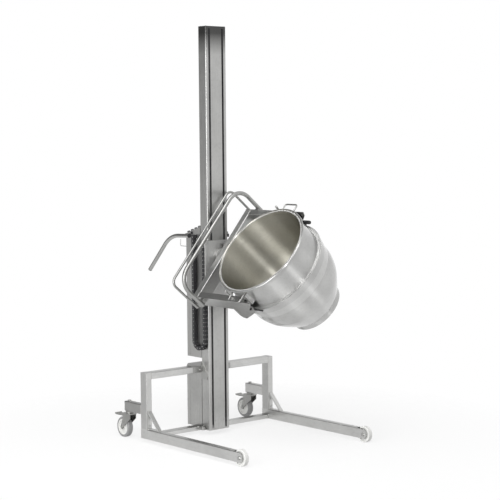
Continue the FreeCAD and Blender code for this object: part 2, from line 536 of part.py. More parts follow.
def bowl():
    """Spun bowl: rolled rim, straight wall with a band, dished lower part and a foot ring."""
    t = BOWL_WALL
    wall_r = BOWL_R
    outer = [V(p[0], 0, p[1]) for p in BOWL_PROFILE]
    inner = []
    for i, p in enumerate(outer):
        a, b = outer[max(i - 1, 0)], outer[min(i + 1, len(outer) - 1)]
        d = (b - a).normalize()
        inner.append(p + V(d.z, 0, -d.x) * t)
    inner[0] = V(wall_r - t, 0, BOWL_PROFILE[0][1])
    bottom_w = BOWL_PROFILE[-1][1] - 14
    c_out, c_in = Part.BSplineCurve(), Part.BSplineCurve()
    down = V(0, 0, -1)
    foot_dir = (outer[-1] - outer[-2]).normalize()
    c_out.interpolate(Points=outer, InitialTangent=down, FinalTangent=foot_dir)
    c_in.interpolate(Points=inner[::-1], InitialTangent=-foot_dir, FinalTangent=-down)
    top = BOWL_RIM_W
    lines = [c_out.toShape(),
             Part.makeLine(outer[-1], V(0, 0, bottom_w)),
             Part.makeLine(V(0, 0, bottom_w), V(0, 0, bottom_w + t)),
             Part.makeLine(V(0, 0, bottom_w + t), inner[-1]),
             c_in.toShape(),
             Part.makeLine(inner[0], V(wall_r - t, 0, top)),
             Part.makeLine(V(wall_r - t, 0, top), V(wall_r, 0, top)),
             Part.makeLine(V(wall_r, 0, top), outer[0])]
    shell = Part.Face(Part.Wire(lines)).revolve(V(0, 0, 0), Z_AXIS, 360)
    bead = Part.makeTorus(BOWL_RIM_R - BEAD_R, BEAD_R, V(0, 0, top), Z_AXIS)
    web = Part.makeCylinder(BOWL_RIM_R - BEAD_R, 2 * t, V(0, 0, top - t)).cut(
        Part.makeCylinder(wall_r - t, 3 * t, V(0, 0, top - 1.5 * t)))
    belt = belt_ring(wall_r - t / 2)
    foot = Part.makeCylinder(FOOT_R, FOOT_W[1] - FOOT_W[0], V(0, 0, FOOT_W[0])).cut(
        Part.makeCylinder(FOOT_R - FOOT_T, FOOT_W[1] - FOOT_W[0] + 2, V(0, 0, FOOT_W[0] - 1)))
    solid = shell.multiFuse([bead, web, belt, foot])
    inside = Part.Face(Part.Wire([c_in.toShape(), Part.makeLine(inner[0], V(0, 0, inner[0].z)),
                                  Part.makeLine(V(0, 0, inner[0].z), V(0, 0, inner[-1].z)),
                                  Part.makeLine(V(0, 0, inner[-1].z), inner[-1])]))
    solid = solid.cut(inside.revolve(V(0, 0, 0), Z_AXIS, 360))
    solid.translate(V(0, BOWL_Y, 0))
    return solid


def belt_ring(inner_r):
    """Tapered belt round the wall, a folded sheet with a ledge on top and four vent holes in it."""
    (r1, w1), (r0, w0) = BELT_TOP, BELT_BOTTOM
    t = BELT_T
    points = [(inner_r, w1), (r1, w1), (r0, w0), (inner_r, w0), (inner_r, w0 + t), (r0 - t, w0 + t),
              (r1 - t, w1 - t), (inner_r, w1 - t)]
    face = Part.Face(Part.makePolygon([V(p[0], 0, p[1]) for p in points + points[:1]]))
    ring = face.revolve(V(0, 0, 0), Z_AXIS, 360)
    for k in range(4):
        a = math.radians(45 + 90 * k)
        r = (r1 + BOWL_R) / 2
        ring = ring.cut(cylinder(V(r * math.cos(a), r * math.sin(a), w1 - 2 * t), Z_AXIS, 8, 3 * t))
    return ring


def bowl_ear():
    """Right ear: folded bracket on the wall with the tongue that sits in the arm's open end."""
    (y0, y1), (w0, w1), t = EAR_Y, EAR_W, EAR_T
    root = BOWL_R - 17
    ear = box(root, EAR_U, y0, y1, w0, w1)
    ear = ear.cut(box(root - 1, EAR_U - t, y0 + t, y1 - t, w0 - 1, w1 + 1))
    floor = ARM_FLOOR + ARM_WALL
    plate = box(root + 10, TONGUE_U[1], y1 - t, y1, floor, floor + TONGUE_H)
    tongue = box(TONGUE_U[0], TONGUE_U[1], y1, TONGUE_END, floor, floor + TONGUE_H)
    solid = fuse(ear, plate, tongue).cut(Part.makeCylinder(BOWL_R, 200, V(0, BOWL_Y, -100)))
    return solid.cut(cylinder(V(LATCH_U, LATCH_Y, floor - 1), Z_AXIS, LATCH_D + 2 * RUN_FIT, TONGUE_H + 2))


def bowl_handle():
    w0, a = 70.0, 52.0
    reach = BOWL_R + 65
    start = BOWL_R - 8
    near, far = BOWL_Y - a, BOWL_Y + a
    pts = [V(start, near, w0), V(reach, near, w0), V(reach, far, w0), V(start, far, w0)]
    rod = round_bar(pts, [14, 14], 4.5)
    return rod.cut(Part.makeCylinder(BOWL_R, 200, V(0, BOWL_Y, w0 - 100)))


def fork_parts(parts):
    parts["rotor_hub"] = tip(rotor_hub())
    parts["fork_beam"] = tip(fork_beam())
    arm, pin, handle, ear = fork_arm(), latch_pin(), bowl_handle(), bowl_ear()
    for name, right in (("fork_arm", arm), ("latch_pin", pin)):
        parts[name + "_left"] = tip(mirror_x(right))
        parts[name + "_right"] = tip(right)
    parts["bowl_handles"] = tip(pair(handle))
    parts["front_grips"] = tip(front_grips())
    parts["bow_rear"] = tip(bow(REAR_BOW))
    parts["bow_front"] = tip(bow(FRONT_BOW))
    parts["bowl"] = tip(bowl().multiFuse([ear, mirror_x(ear)]))


def front_wheel():
    r = FRONT_WHEEL_D / 2
    w = FRONT_WHEEL_W / 2
    z = FRONT_WHEEL_Z
    start = V(SIDE_X - w, AXLE_Y, z)
    wheel = cylinder(start, X_AXIS, FRONT_WHEEL_D, 2 * w)
    wheel = wheel.makeFillet(3, [e for e in wheel.Edges if e.Curve.TypeId == "Part::GeomCircle"])
    for x in (SIDE_X - w - 1, SIDE_X + w - 5):
        c = V(x, AXLE_Y, z)
        ring = cylinder(c, X_AXIS, 2 * r - 18, 6).cut(cylinder(c, X_AXIS, 34, 6))
        wheel = wheel.cut(ring)
    return wheel.cut(cylinder(V(SIDE_X - w - 1, AXLE_Y, z), X_AXIS, AXLE_D + 2 * RUN_FIT, 2 * w + 2))


def front_axle():
    x0, x1 = INNER_X, BASE_WIDTH / 2
    z = FRONT_WHEEL_Z
    shaft = cylinder(V(x0, AXLE_Y, z), X_AXIS, AXLE_D, x1 - x0)
    heads = [hex_head(V(x, AXLE_Y, z), X_AXIS, 18, 6) for x in (x0 - 6, x1)]
    return fuse(shaft, *heads)


def caster_head():
    """Fixed collar and king pin under the rear arm."""
    collar = cylinder(V(SIDE_X, CASTER_Y, CROWN_TOP + 0.5), Z_AXIS, 46, REAR_ARM_BOTTOM - CROWN_TOP - 0.5)
    low = CROWN_TOP - CROWN_T - 5
    pin = cylinder(V(SIDE_X, CASTER_Y, low), Z_AXIS, CASTER_PIN_D, REAR_ARM_BOTTOM + TUBE_DEPTH - low)
    cap = cylinder(V(SIDE_X, CASTER_Y, low), Z_AXIS, 26, 4.5)
    return fuse(collar, pin, cap)


def caster_fork():
    """Swivelling fork: crown plate, two cheeks, axle with nuts and the pedal's pivot pin."""
    y_hub, z_hub = CASTER_Y + CASTER_TRAIL, CASTER_WHEEL_Z
    half = CASTER_WHEEL_W / 2 + 3
    z1, z0 = CROWN_TOP, CROWN_TOP - CROWN_T
    crown = bar(SIDE_X - 27, SIDE_X + 27, CASTER_Y - 40, CASTER_Y + 42, z0, z1, Z_AXIS, 8)
    king_bore = cylinder(V(SIDE_X, CASTER_Y, z0 - 1), Z_AXIS, CASTER_PIN_D + 2 * RUN_FIT, CROWN_T + 2)
    crown = crown.cut(king_bore)
    parts = [crown]
    for s in (-1, 1):
        x0, x1 = sorted((SIDE_X + s * half, SIDE_X + s * (half + FORK_PLATE_T)))
        side = plate_x([(CASTER_Y - 34, z0 + 1), (CASTER_Y + 38, z0 + 1), (CASTER_Y + 38, z0 - 22),
                        (y_hub + 15, z_hub + 4), (y_hub + 9, z_hub - 12), (y_hub - 9, z_hub - 12),
                        (y_hub - 15, z_hub + 4), (CASTER_Y - 34, z0 - 26)], x0, x1)
        parts.append(side)
    outer = half + FORK_PLATE_T
    parts.append(cylinder(V(SIDE_X - outer, y_hub, z_hub), X_AXIS, AXLE_D, 2 * outer))
    parts.append(hex_head(V(SIDE_X - outer - 5, y_hub, z_hub), X_AXIS, 18, 5))
    parts.append(hex_head(V(SIDE_X + outer, y_hub, z_hub), X_AXIS, 18, 5))
    parts.append(cylinder(V(SIDE_X - outer, PEDAL_PIVOT_Y, PEDAL_PIVOT_Z), X_AXIS, PEDAL_PIN_D, 2 * outer))
    return fuse(parts[0], *parts[1:])


def caster_wheel():
    w = CASTER_WHEEL_W / 2
    c = V(SIDE_X - w, CASTER_Y + CASTER_TRAIL, CASTER_WHEEL_Z)
    rim_d = CASTER_WHEEL_D - 30
    disc = cylinder(c, X_AXIS, rim_d, 2 * w)
    for x in (SIDE_X - w - 1, SIDE_X + w - 6):
        p = V(x, c.y, c.z)
        disc = disc.cut(cylinder(p, X_AXIS, rim_d - 14, 7).cut(cylinder(p, X_AXIS, 36, 7)))
    return disc.cut(cylinder(V(SIDE_X - w - 1, c.y, c.z), X_AXIS, AXLE_D + 2 * RUN_FIT, 2 * w + 2))


def caster_tyre():
    w = CASTER_WHEEL_W / 2
    c = V(SIDE_X - w, CASTER_Y + CASTER_TRAIL, CASTER_WHEEL_Z)
    tyre = cylinder(c, X_AXIS, CASTER_WHEEL_D, 2 * w)
    tyre = tyre.makeFillet(7, [e for e in tyre.Edges if e.Curve.TypeId == "Part::GeomCircle"])
    return tyre.cut(cylinder(V(c.x - 1, c.y, c.z), X_AXIS, CASTER_WHEEL_D - 30, 2 * w + 2))


def caster_pedal():
    """Brake pedal: hub on the pivot pin, arm over the wheel and a broad foot plate."""
    y0, z0 = PEDAL_PIVOT_Y, PEDAL_PIVOT_Z
    half = CASTER_WHEEL_W / 2 + 2.4
    arm = plate_x([(y0 - 7, z0 - 7), (y0 - 7, z0 + 7), (y0 + 12, z0 + 7), (y0 + 52, z0 + 2),
                   (y0 + 52, z0 - 3), (y0 + 10, z0 - 7)], SIDE_X - half, SIDE_X + half)
    foot = plate_x([(y0 + 46, z0 - 4), (y0 + 46, z0 + 3), (PEDAL_REACH - 6, z0 + 2), (PEDAL_REACH, z0 + 7),
                    (PEDAL_REACH, z0 + 1), (PEDAL_REACH - 5, z0 - 4)], SIDE_X - 25, SIDE_X + 25)
    pin = cylinder(V(SIDE_X - 40, y0, z0), X_AXIS, PEDAL_PIN_D + 2 * RUN_FIT, 80)
    return arm.fuse(foot).cut(pin).removeSplitter()


def wheel_parts(parts):
    both_sides(parts, "front_wheel", front_wheel())
    parts["front_axles"] = pair(front_axle())
    parts["caster_heads"] = pair(caster_head())
    both_sides(parts, "caster_fork", caster_fork())
    both_sides(parts, "caster_wheel", caster_wheel())
    both_sides(parts, "caster_tyre", caster_tyre())
    both_sides(parts, "caster_pedal", caster_pedal())


def chain_strip(path):
    """Row of links along a path of (y, z, normal y, normal z), narrowed at every joint."""
    outer, inner = [], []
    last = len(path) - 1
    for i, (y, z, ny, nz) in enumerate(path):
        for k in ((-1, 0, 1) if 0 < i < last else (0,)):
            j = i + k
            f = LINK_NECK if k else 0.0
            yy, zz = y + (path[j][0] - y) * f, z + (path[j][1] - z) * f
            half = CHAIN_H / 2 - (LINK_NOTCH if k == 0 and 0 < i < last else 0.0)
            outer.append((yy + ny * half, zz + nz * half))
            inner.append((yy - ny * half, zz - nz * half))
    return plate_x(outer + inner[::-1], CHAIN_X - CHAIN_W, CHAIN_X)


def straight_strand(y, z_low, z_top):
    n = round((z_top - z_low) / LINK)
    return chain_strip([(y, z_top - i * (z_top - z_low) / n, 1.0, 0.0) for i in range(n + 1)])


def chain_parts(parts):
    """Hanging energy chain: two straight strands and the U-bend that travels at half rate."""
    mid_y = (CHAIN_FRONT + CHAIN_REAR) / 2
    bend = (CHAIN_REAR - CHAIN_FRONT) / 2
    zc = CHAIN_LOW + CHAIN_H / 2 + bend
    parts["chain_rear"] = straight_strand(CHAIN_REAR, zc, CHAIN_TOP)
    parts["chain_front"] = straight_strand(CHAIN_FRONT, zc, CHAIN_FRONT_TOP)
    steps = round(math.pi * bend / LINK)
    arc = []
    for i in range(steps + 1):
        a = math.pi * i / steps
        arc.append((mid_y + bend * math.cos(a), zc - bend * math.sin(a), math.cos(a), -math.sin(a)))
    parts["chain_bend"] = chain_strip(arc)


def chain_brackets(parts):
    """End brackets: one on the housing side, one on the carriage plate's back."""
    h = COLUMN_WIDTH / 2
    z = CHAIN_TOP
    parts["chain_anchor"] = box(CHAIN_X, -h, CHAIN_REAR - 12, CHAIN_REAR + 12, z - 60, z - 21)
    front = -COLUMN_DEPTH - PLATE_GAP
    z = CHAIN_FRONT_TOP
    parts["chain_carrier"] = box(CHAIN_X - CHAIN_W, CHAIN_X, front, CHAIN_FRONT - CHAIN_H / 2, z - 38, z)


def build():
    parts = {}
    both_sides(parts, "side_frame", side_frame())
    parts["braces"] = pair(brace())
    cross_beams(parts)
    column_brackets(parts)
    parts["frame_bolts"] = Part.makeCompound(frame_bolts() + brace_screws())
    column_parts(parts)
    parts["housing_upper"] = sheet_box(HOUSING_DEPTH, UPPER_HOUSING[0], UPPER_HOUSING[1], True)
    lower = sheet_box(LOWER_HOUSING_DEPTH, LOWER_HOUSING[0], LOWER_HOUSING[1], False)
    h = COLUMN_WIDTH / 2 + 1
    notch_top = LEG_BOTTOM + 1 + LOWER_BEAM_HEIGHT + 1
    parts["housing_lower"] = lower.cut(box(-h, h, -1, TUBE_DEPTH + 1, LOWER_HOUSING[0] - 1, notch_top))
    parts["console"] = console()
    buttons(parts)
    handle_parts(parts)
    drive_parts(parts)
    carriage_parts(parts)
    fork_parts(parts)
    wheel_parts(parts)
    chain_parts(parts)
    chain_brackets(parts)
    return parts


def middle_y():
    """Y halfway between the front wheels' front and the push handle's rear end."""
    (y0, z0), (y1, z1) = HANDLE_PATH[1:]
    size = math.hypot(y1 - y0, z1 - z0)
    rear = y1 + PLUG_T * (y1 - y0) / size + HANDLE_D / 2 * (z0 - z1) / size
    return (rear + AXLE_Y - FRONT_WHEEL_D / 2) / 2


os.makedirs(OUT, exist_ok=True)
for name, shape in sorted(build().items()):
    shape.translate(V(0, -middle_y(), -FLOOR_Z))
    shape.exportStep("%s/%s.step" % (OUT, name))
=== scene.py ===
import math

import bmesh
import bpy
from mathutils import Matrix, Vector


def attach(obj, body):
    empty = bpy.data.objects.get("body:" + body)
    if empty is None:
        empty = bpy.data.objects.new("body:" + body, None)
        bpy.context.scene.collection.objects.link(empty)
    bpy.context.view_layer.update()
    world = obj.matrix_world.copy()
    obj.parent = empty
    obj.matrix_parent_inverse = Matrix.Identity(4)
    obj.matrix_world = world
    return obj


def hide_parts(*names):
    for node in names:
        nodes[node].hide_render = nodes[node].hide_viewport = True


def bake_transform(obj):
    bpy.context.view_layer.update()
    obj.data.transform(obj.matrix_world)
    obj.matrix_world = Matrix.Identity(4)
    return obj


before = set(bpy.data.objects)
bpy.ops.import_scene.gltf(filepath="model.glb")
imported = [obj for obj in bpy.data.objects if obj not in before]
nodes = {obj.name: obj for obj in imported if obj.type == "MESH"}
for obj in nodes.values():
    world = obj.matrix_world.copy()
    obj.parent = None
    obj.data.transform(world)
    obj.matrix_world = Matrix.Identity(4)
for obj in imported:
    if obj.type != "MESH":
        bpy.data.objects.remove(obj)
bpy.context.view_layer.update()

MM = 0.001
SHIFT_Y = 0.1981        # row frame y of the uprights' front face
SHIFT_Z = -0.004
ROTOR_Z = 1.104
TIP = math.radians(-50)
BOWL_CENTRE_Y = -556.0
X, Y, Z = Vector((1, 0, 0)), Vector((0, 1, 0)), Vector((0, 0, 1))
FORK_U = Vector((math.cos(TIP), 0, -math.sin(TIP)))
FORK_W = Vector((math.sin(TIP), 0, math.cos(TIP)))


def at(x, y, z):
    """Point of the row frame from millimetres counted from the uprights' front face."""
    return Vector((x * MM, y * MM + SHIFT_Y, z * MM + SHIFT_Z))


def on_fork(u, y, w):
    """Point of the tipped fork from its upright coordinates in millimetres."""
    return Vector((0, y * MM + SHIFT_Y, ROTOR_Z)) + FORK_U * (u * MM) + FORK_W * (w * MM)


# Materials

def new_material(name):
    m = bpy.data.materials.new(name)
    m.use_nodes = True
    t = m.node_tree
    return m, t, t.nodes["Principled BSDF"]


def mapped(t, scale=(1, 1, 1), turn=0.0, origin=(0, 0, 0)):
    """Object coordinates, moved to origin, turned about Y and scaled."""
    coord = t.nodes.new("ShaderNodeTexCoord")
    move = t.nodes.new("ShaderNodeMapping")
    move.vector_type = "TEXTURE"
    move.inputs["Location"].default_value = origin
    move.inputs["Rotation"].default_value = (0, turn, 0)
    grow = t.nodes.new("ShaderNodeMapping")
    grow.inputs["Scale"].default_value = scale
    t.links.new(coord.outputs["Object"], move.inputs["Vector"])
    t.links.new(move.outputs["Vector"], grow.inputs["Vector"])
    return grow.outputs["Vector"]


def noise(t, vector, scale, detail=3.0, rough=0.55):
    """Cloudy value from 0 to 1 over the given coordinates."""
    n = t.nodes.new("ShaderNodeTexNoise")
    n.inputs["Scale"].default_value = scale
    n.inputs["Detail"].default_value = detail
    n.inputs["Roughness"].default_value = rough
    t.links.new(vector, n.inputs["Vector"])
    return n.outputs["Fac"]


def math_node(t, operation, a, b=None):
    """One sum of the shader; a and b are numbers or sockets."""
    n = t.nodes.new("ShaderNodeMath")
    n.operation = operation
    for socket, value in zip(n.inputs, (a, b)):
        if isinstance(value, (int, float)):
            socket.default_value = value
        elif value is not None:
            t.links.new(value, socket)
    return n.outputs["Value"]


def spread(t, value, low, high, lo_out, hi_out):
    """Value carried evenly from one range to another, and held at its ends."""
    r = t.nodes.new("ShaderNodeMapRange")
    r.inputs["From Min"].default_value = low
    r.inputs["From Max"].default_value = high
    r.inputs["To Min"].default_value = lo_out
    r.inputs["To Max"].default_value = hi_out
    t.links.new(value, r.inputs["Value"])
    return r.outputs["Result"]


def smooth(t, value, low, high):
    """0 below low, 1 above high, with a soft change between."""
    r = t.nodes.new("ShaderNodeMapRange")
    r.interpolation_type = "SMOOTHSTEP"
    r.inputs["From Min"].default_value = low
    r.inputs["From Max"].default_value = high
    t.links.new(value, r.inputs["Value"])
    return r.outputs["Result"]


def tint(t, value, dark, light, low=0.3, high=0.7):
    """Colour that runs from dark to light as value goes from low to high."""
    r = t.nodes.new("ShaderNodeValToRGB")
    r.color_ramp.elements[0].position = low
    r.color_ramp.elements[1].position = high
    r.color_ramp.elements[0].color = (*dark, 1)
    r.color_ramp.elements[1].color = (*light, 1)
    t.links.new(value, r.inputs["Fac"])
    return r.outputs["Color"]


def greys(t, value, first, last, low=0.3, high=0.7):
    return tint(t, value, (first,) * 3, (last,) * 3, low, high)


def masked(t, mask, off, on):
    """Grey that is off where the mask is 0 and on where it is 1."""
    return greys(t, mask, off, on, 0.1, 0.9)


def blend_colors(t, a, b, kind="MULTIPLY", factor=1.0):
    """Two colours laid over each other."""
    m = t.nodes.new("ShaderNodeMix")
    m.data_type = "RGBA"
    m.blend_type = kind
    if isinstance(factor, float):
        m.inputs["Factor"].default_value = factor
    else:
        t.links.new(factor, m.inputs["Factor"])
    t.links.new(a, m.inputs[6])
    t.links.new(b, m.inputs[7])
    return m.outputs[2]


def bump(t, bsdf, value, strength, distance):
    b = t.nodes.new("ShaderNodeBump")
    b.inputs["Strength"].default_value = strength
    b.inputs["Distance"].default_value = distance
    t.links.new(value, b.inputs["Height"])
    t.links.new(b.outputs["Normal"], bsdf.inputs["Normal"])


def world_vector(t, direction):
    """A direction of the piece, as it stands in the world."""
    fixed = t.nodes.new("ShaderNodeCombineXYZ")
    for i in range(3):
        fixed.inputs[i].default_value = direction[i]
    turn = t.nodes.new("ShaderNodeVectorTransform")
    turn.vector_type = "VECTOR"
    turn.convert_from, turn.convert_to = "OBJECT", "WORLD"
    t.links.new(fixed.outputs["Vector"], turn.inputs["Vector"])
    return turn.outputs["Vector"]


def stretch_highlights(t, bsdf, amount, grain=None, along=None):
    """Stretches highlights across the grain, or along a given direction."""
    bsdf.inputs["Anisotropic"].default_value = amount
    if along is not None:
        t.links.new(world_vector(t, along), bsdf.inputs["Tangent"])
        return
    cross = t.nodes.new("ShaderNodeVectorMath")
    cross.operation = "CROSS_PRODUCT"
    geometry = t.nodes.new("ShaderNodeNewGeometry")
    t.links.new(geometry.outputs["Normal"], cross.inputs[0])
    t.links.new(world_vector(t, grain), cross.inputs[1])
    t.links.new(cross.outputs["Vector"], bsdf.inputs["Tangent"])


def shades(color, grain):
    """The darker and the lighter end of a colour's grain."""
    return tuple(c * (1 - grain) for c in color), tuple(min(1.0, c * (1 + grain)) for c in color)


FINE, SLOW = 900.0, 6.0
GRAINS = {"x": (SLOW, FINE, FINE), "y": (FINE, SLOW, FINE), "z": (FINE, FINE, SLOW)}
GRAIN_AXES = {"x": (1, 0.03, 0.05), "y": (0.03, 1, 0.05), "z": (0.03, 0.05, 1)}


def finish_steel(t, b, base, streak, place, rough):
    """Clouds of handling marks, fine scratches and the shared metal settings."""
    smudge = noise(t, place, 7.0, 4.0)
    scratch = noise(t, place, 60.0, 6.0, 0.75)
    color = blend_colors(t, base, greys(t, smudge, 0.88, 1.0))
    color = blend_colors(t, color, greys(t, scratch, 0.93, 1.0, 0.38, 0.5))
    t.links.new(color, b.inputs["Base Color"])
    gloss = math_node(t, "ADD", spread(t, streak, 0.3, 0.7, rough * 0.82, rough * 1.15),
                      spread(t, smudge, 0.3, 0.7, 0.04, -0.03))
    t.links.new(gloss, b.inputs["Roughness"])
    b.inputs["Metallic"].default_value = 1.0
    bump(t, b, streak, 0.06, 0.0003)


def brushed(name, color, rough=0.3, along="z", turn=0.0, grain=0.10, aniso=0.55):
    """Brushed metal with grain along one axis of the (turned) frame."""
    m, t, b = new_material(name)
    streak = noise(t, mapped(t, GRAINS[along], turn), 1.0, 2.0)
    base = tint(t, streak, *shades(color, grain))
    finish_steel(t, b, base, streak, mapped(t, turn=turn), rough)
    axis = Matrix.Rotation(turn, 3, "Y") @ Vector(GRAIN_AXES[along])
    stretch_highlights(t, b, aniso, grain=axis)
    return m


# Painted shade at the column's top: height where it starts, height where it is full, and its level.
PAINTED_SHADE_FROM, PAINTED_SHADE_TO, PAINTED_SHADE_TONE = 2.30, 2.46, 0.18


def column_steel(name, color, rough):
    """Column extrusion: vertical grain, with painted shade darkening the steel towards the top."""
    m, t, b = new_material(name)
    streak = noise(t, mapped(t, GRAINS["z"]), 1.0, 2.0)
    split = t.nodes.new("ShaderNodeSeparateXYZ")
    t.links.new(mapped(t), split.inputs["Vector"])
    # Painted shade: the column's steel is darkened towards its top.
    height = spread(t, split.outputs["Z"], PAINTED_SHADE_FROM, PAINTED_SHADE_TO, 0.0, 1.0)
    base = blend_colors(t, tint(t, streak, *shades(color, 0.06)), masked(t, height, 1, PAINTED_SHADE_TONE))
    finish_steel(t, b, base, streak, mapped(t), rough)
    stretch_highlights(t, b, 0.55, grain=GRAIN_AXES["z"])
    return m


def between(t, value, low, high):
    """1 where value lies between low and high, else 0."""
    above = math_node(t, "GREATER_THAN", value, low)
    return math_node(t, "MULTIPLY", above, math_node(t, "LESS_THAN", value, high))


# The last value is the level of painted shade on the uprights.
UPRIGHT_BACK, UPRIGHT_FOOT, UPRIGHT_PAINTED_SHADE = SHIFT_Y + 0.0605, 0.082, 0.84
# The last value is the level of painted shade on the left rear arm.
ARM_SIDE, ARM_FRONT, ARM_PAINTED_SHADE = -0.45, SHIFT_Y + 0.068, 0.65


def frame_tube(name, color, rough):
    """Base frame: grain up the uprights and along legs and arms; uprights and left rear arm darkened by
    painted shade.
    """
    m, t, b = new_material(name)
    place = mapped(t)
    split = t.nodes.new("ShaderNodeSeparateXYZ")
    t.links.new(place, split.inputs["Vector"])
    up = math_node(t, "MULTIPLY", between(t, split.outputs["Y"], SHIFT_Y, UPRIGHT_BACK),
                   math_node(t, "GREATER_THAN", split.outputs["Z"], UPRIGHT_FOOT))
    mix = t.nodes.new("ShaderNodeMix")
    t.links.new(up, mix.inputs["Factor"])
    t.links.new(noise(t, mapped(t, GRAINS["y"]), 1.0, 2.0), mix.inputs["A"])
    t.links.new(noise(t, mapped(t, GRAINS["z"]), 1.0, 2.0), mix.inputs["B"])
    streak = mix.outputs["Result"]
    base = tint(t, streak, *shades(color, 0.10))
    # Painted shade: the uprights are darkened against the legs and arms.
    base = blend_colors(t, base, masked(t, up, 1, UPRIGHT_PAINTED_SHADE))
    # Painted shade: the left rear arm is darkened, on the left side only.
    arm = math_node(t, "MULTIPLY", math_node(t, "LESS_THAN", split.outputs["X"], ARM_SIDE),
                    smooth(t, split.outputs["Y"], UPRIGHT_BACK, ARM_FRONT))
    base = blend_colors(t, base, masked(t, arm, 1, ARM_PAINTED_SHADE))
    finish_steel(t, b, base, streak, place, rough)
    return m


def turned_normal(t, turn):
    """The surface's own direction in the turned frame."""
    coord = t.nodes.new("ShaderNodeTexCoord")
    move = t.nodes.new("ShaderNodeMapping")
    move.vector_type = "TEXTURE"
    move.inputs["Rotation"].default_value = (0, turn, 0)
    t.links.new(coord.outputs["Normal"], move.inputs["Vector"])
    split = t.nodes.new("ShaderNodeSeparateXYZ")
    t.links.new(move.outputs["Vector"], split.inputs["Vector"])
    return split


# The last value is the level of painted shade on the bowl's body outside the belt.
BELT_FROM, BELT_TO, BODY_PAINTED_SHADE = 0.2876, 0.3, 0.88
FACING_IN = -0.04
POLISH, POLISH_ROUGHNESS = 1.0, 0.04


def spun(name, color, lining, rough, centre, turn, aniso):
    """Polished metal spun about an axis: fine rings, highlights along the axis, a warmer lining, and painted
    shade on the body outside the belt so the belt shows as a lit band.
    """
    m, t, b = new_material(name)
    place = mapped(t, turn=turn, origin=centre)
    split = t.nodes.new("ShaderNodeSeparateXYZ")
    t.links.new(place, split.inputs["Vector"])
    x, y, z = split.outputs["X"], split.outputs["Y"], split.outputs["Z"]
    squares = math_node(t, "ADD", math_node(t, "MULTIPLY", x, x), math_node(t, "MULTIPLY", y, y))
    radius = math_node(t, "SQRT", squares)
    angle = math_node(t, "ARCTAN2", x, math_node(t, "MULTIPLY", y, -1.0))
    ring = t.nodes.new("ShaderNodeCombineXYZ")
    t.links.new(math_node(t, "MULTIPLY", radius, FINE), ring.inputs["X"])
    t.links.new(math_node(t, "MULTIPLY", z, FINE), ring.inputs["Y"])
    t.links.new(math_node(t, "MULTIPLY", math_node(t, "ABSOLUTE", angle), 2.0), ring.inputs["Z"])
    streak = noise(t, ring.outputs["Vector"], 1.0, 2.0)
    normal = turned_normal(t, turn)
    facing = math_node(t, "ADD", math_node(t, "MULTIPLY", x, normal.outputs["X"]),
                       math_node(t, "MULTIPLY", y, normal.outputs["Y"]))
    inside = math_node(t, "LESS_THAN", facing, FACING_IN)
    lined = tint(t, streak, *shades(lining, 0.05))
    belt = between(t, radius, BELT_FROM, BELT_TO)
    # Painted light: the body outside the belt is darkened, so the belt shows lighter as if lit.
    outer = blend_colors(t, tint(t, streak, *shades(color, 0.05)), masked(t, belt, BODY_PAINTED_SHADE, 1.0))
    finish_steel(t, b, blend_colors(t, outer, lined, "MIX", inside), streak, place, rough)
    stretch_highlights(t, b, aniso, along=Vector((math.sin(turn), 0.02, math.cos(turn))))
    b.inputs["Coat Weight"].default_value = POLISH
    b.inputs["Coat Roughness"].default_value = POLISH_ROUGHNESS
    return m


def plastic(name, color, rough=0.45, grain=0.06, size=900.0):
    """Moulded plastic or rubber: fine pits, slow shade changes and scuffs."""
    m, t, b = new_material(name)
    place = mapped(t)
    pit = noise(t, place, size, 2.0)
    base = tint(t, noise(t, place, 14.0, 3.0), *shades(color, grain))
    scuff = noise(t, place, 85.0, 6.0, 0.7)
    t.links.new(blend_colors(t, base, greys(t, scuff, 0.9, 1.0, 0.35, 0.5)), b.inputs["Base Color"])
    t.links.new(spread(t, pit, 0.3, 0.7, rough * 0.85, rough * 1.15), b.inputs["Roughness"])
    bump(t, b, pit, 0.15, 0.0003)
    return m


TUBE = frame_tube("tube_frame", (0.60, 0.60, 0.59), 0.34)
BEAM = brushed("tube_cross", (0.62, 0.62, 0.61), 0.34, "x")
BRACE = brushed("brace_flat", (0.60, 0.60, 0.59), 0.34, "z")
HANDLE = brushed("handle_tube", (0.42, 0.42, 0.41), 0.30, "y")
SHEET = brushed("sheet_steel", (0.45, 0.45, 0.44), 0.34, "z")
COLUMN = column_steel("column_face", (0.47, 0.47, 0.46), 0.34)
BRACKET = brushed("bracket_steel", (0.41, 0.41, 0.40), 0.34, "x")
FORK = brushed("fork_steel", (0.52, 0.52, 0.51), 0.36, "x", TIP)
PLATE = brushed("plate_steel", (0.62, 0.62, 0.61), 0.50, "z")
CASTER = brushed("caster_plating", (0.36, 0.36, 0.35), 0.30, "z", aniso=0.2)
ARM = brushed("arm_steel", (0.48, 0.48, 0.47), 0.36, "y")
BOW = brushed("bow_tube", (0.38, 0.38, 0.37), 0.36, "y", TIP)
BOWL = spun("bowl_steel", (0.58, 0.58, 0.57), (0.57, 0.555, 0.49), 0.38,
            on_fork(0, BOWL_CENTRE_Y, 0), TIP, 1.0)
BOLT = brushed("bolt_steel", (0.46, 0.46, 0.45), 0.32, "z", aniso=0.2)
WELD = brushed("weld_bead", (0.52, 0.50, 0.47), 0.32, "x", aniso=0.0, grain=0.16)
NYLON = plastic("white_nylon", (0.80, 0.80, 0.78), 0.45)
RUBBER = plastic("grey_rubber", (0.30, 0.30, 0.30), 0.7)
BLACK = plastic("black_plastic", (0.018, 0.018, 0.02), 0.45)
CLIP = plastic("pale_clip", (0.62, 0.62, 0.60), 0.5)
BUTTON = plastic("button_cap", (0.05, 0.05, 0.052), 0.35)
CAST = plastic("cast_housing", (0.10, 0.105, 0.11), 0.5)
BRONZE = brushed("nut_bronze", (0.55, 0.38, 0.16), 0.3, "z")

